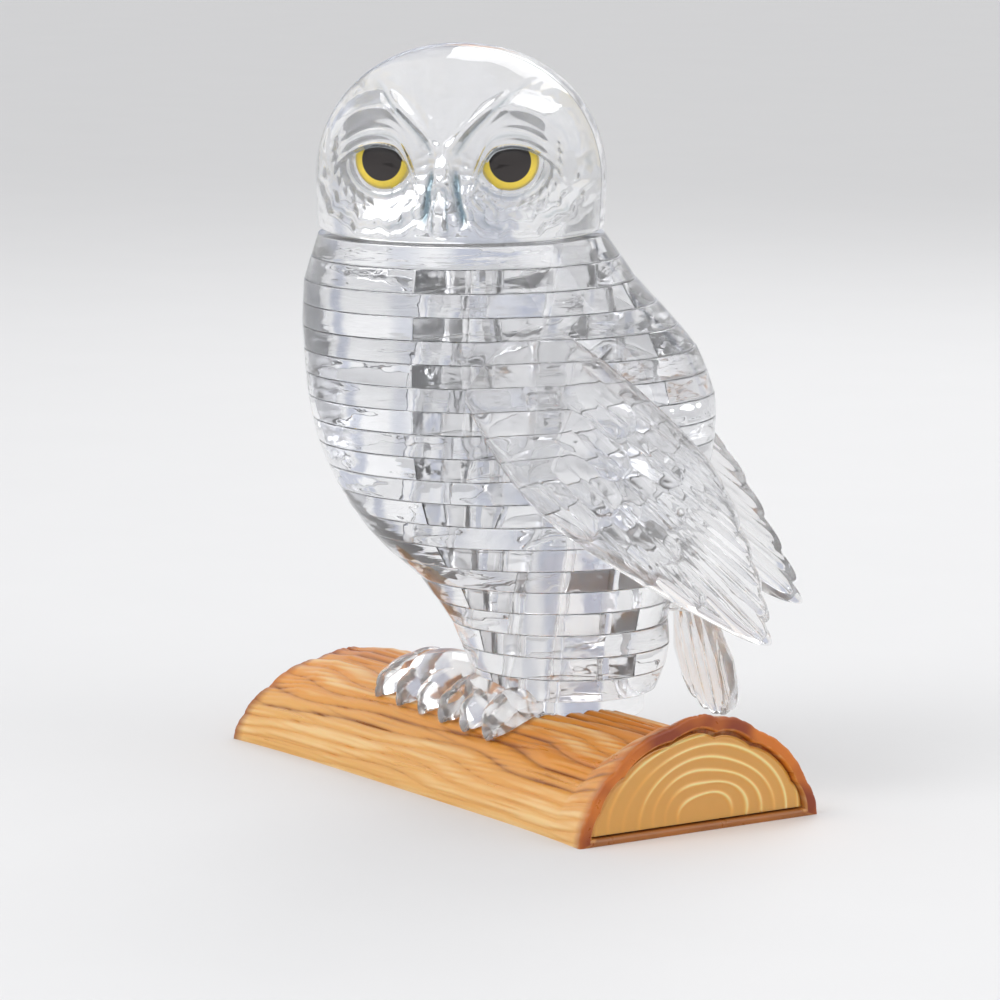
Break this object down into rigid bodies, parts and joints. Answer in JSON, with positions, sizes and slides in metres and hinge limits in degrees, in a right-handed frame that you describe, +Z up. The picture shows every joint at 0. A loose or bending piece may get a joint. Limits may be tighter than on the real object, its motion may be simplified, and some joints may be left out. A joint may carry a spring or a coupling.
{
  "type": "jigsaw owl figurine",
  "caption": "Clear plastic jigsaw owl of interlocking level pieces round a post, with push-on head, wings, tail and feet, standing on an amber half log.",
  "frame": {"origin": "middle of the log's flat base", "axes": "+Z up, X along the log with the flared end at +X, -Y in front of the feet"},
  "size_m": [0.106, 0.0876, 0.1234],
  "materials": {
    "bark": "translucent amber, moulded bark furrows, darker red-brown rim",
    "log_end": "translucent light amber with pale growth rings",
    "clear_body": "clear, polished",
    "clear_wings": "clear, polished, moulded feathers",
    "clear_feet": "clear, polished",
    "clear_head": "clear, polished, moulded face",
    "eye_print": "glossy yellow iris round a near-black pupil"
  },
  "bodies": {
    "log": {"log_body": "bark", "log_end_left": "log_end", "log_end_right": "log_end"},
    "owl_base": {"base_plate": "clear_body", "centre_post": "clear_body", "foot_left": "clear_feet", "foot_right": "clear_feet", "body_piece_01": "clear_body", "body_piece_02": "clear_body", "body_piece_03": "clear_body", "body_piece_04": "clear_body"},
    "stack_low": {"body_piece_05": "clear_body", "body_piece_06": "clear_body", "body_piece_07": "clear_body", "body_piece_08": "clear_body"},
    "stack_middle": {"body_piece_09": "clear_body", "body_piece_10": "clear_body", "body_piece_11": "clear_body", "body_piece_12": "clear_body"},
    "stack_shoulder": {"body_piece_13": "clear_body", "body_piece_14": "clear_body", "body_piece_15": "clear_body", "body_piece_16": "clear_body"},
    "stack_top": {"body_piece_17": "clear_body", "body_piece_18": "clear_body", "body_piece_19": "clear_body", "body_piece_20": "clear_body", "collar_plate": "clear_body"},
    "head": {"head_face": "clear_head", "head_back": "clear_head", "eye_left": "eye_print", "eye_right": "eye_print"},
    "wing_left": {"wing_left": "clear_wings"},
    "wing_right": {"wing_right": "clear_wings"},
    "tail": {"tail": "clear_wings"}
  },
  "joints": [
    {"name": "owl_lift", "type": "slide", "parent": "log", "child": "owl_base", "axis": [0, 0, 1], "range_m": [0, 0.012]},
    {"name": "stack_low_lift", "type": "slide", "parent": "owl_base", "child": "stack_low", "axis": [0, 0, 1], "range_m": [0, 0.006]},
    {"name": "stack_middle_lift", "type": "slide", "parent": "stack_low", "child": "stack_middle", "axis": [0, 0, 1], "range_m": [0, 0.006]},
    {"name": "stack_shoulder_lift", "type": "slide", "parent": "stack_middle", "child": "stack_shoulder", "axis": [0, 0, 1], "range_m": [0, 0.006]},
    {"name": "stack_top_lift", "type": "slide", "parent": "stack_shoulder", "child": "stack_top", "axis": [0, 0, 1], "range_m": [0, 0.006]},
    {"name": "head_lift", "type": "slide", "parent": "stack_top", "child": "head", "axis": [0, 0, 1], "range_m": [0, 0.01]},
    {"name": "wing_left_pull", "type": "slide", "parent": "stack_shoulder", "child": "wing_left", "axis": [0.9272, -0.3746, 0], "range_m": [0, 0.007]},
    {"name": "wing_right_pull", "type": "slide", "parent": "stack_shoulder", "child": "wing_right", "axis": [-0.788, 0.6157, 0], "range_m": [0, 0.007]},
    {"name": "tail_pull", "type": "slide", "parent": "stack_low", "child": "tail", "axis": [0.5, 0.866, 0], "range_m": [0, 0.007]}
  ]
}
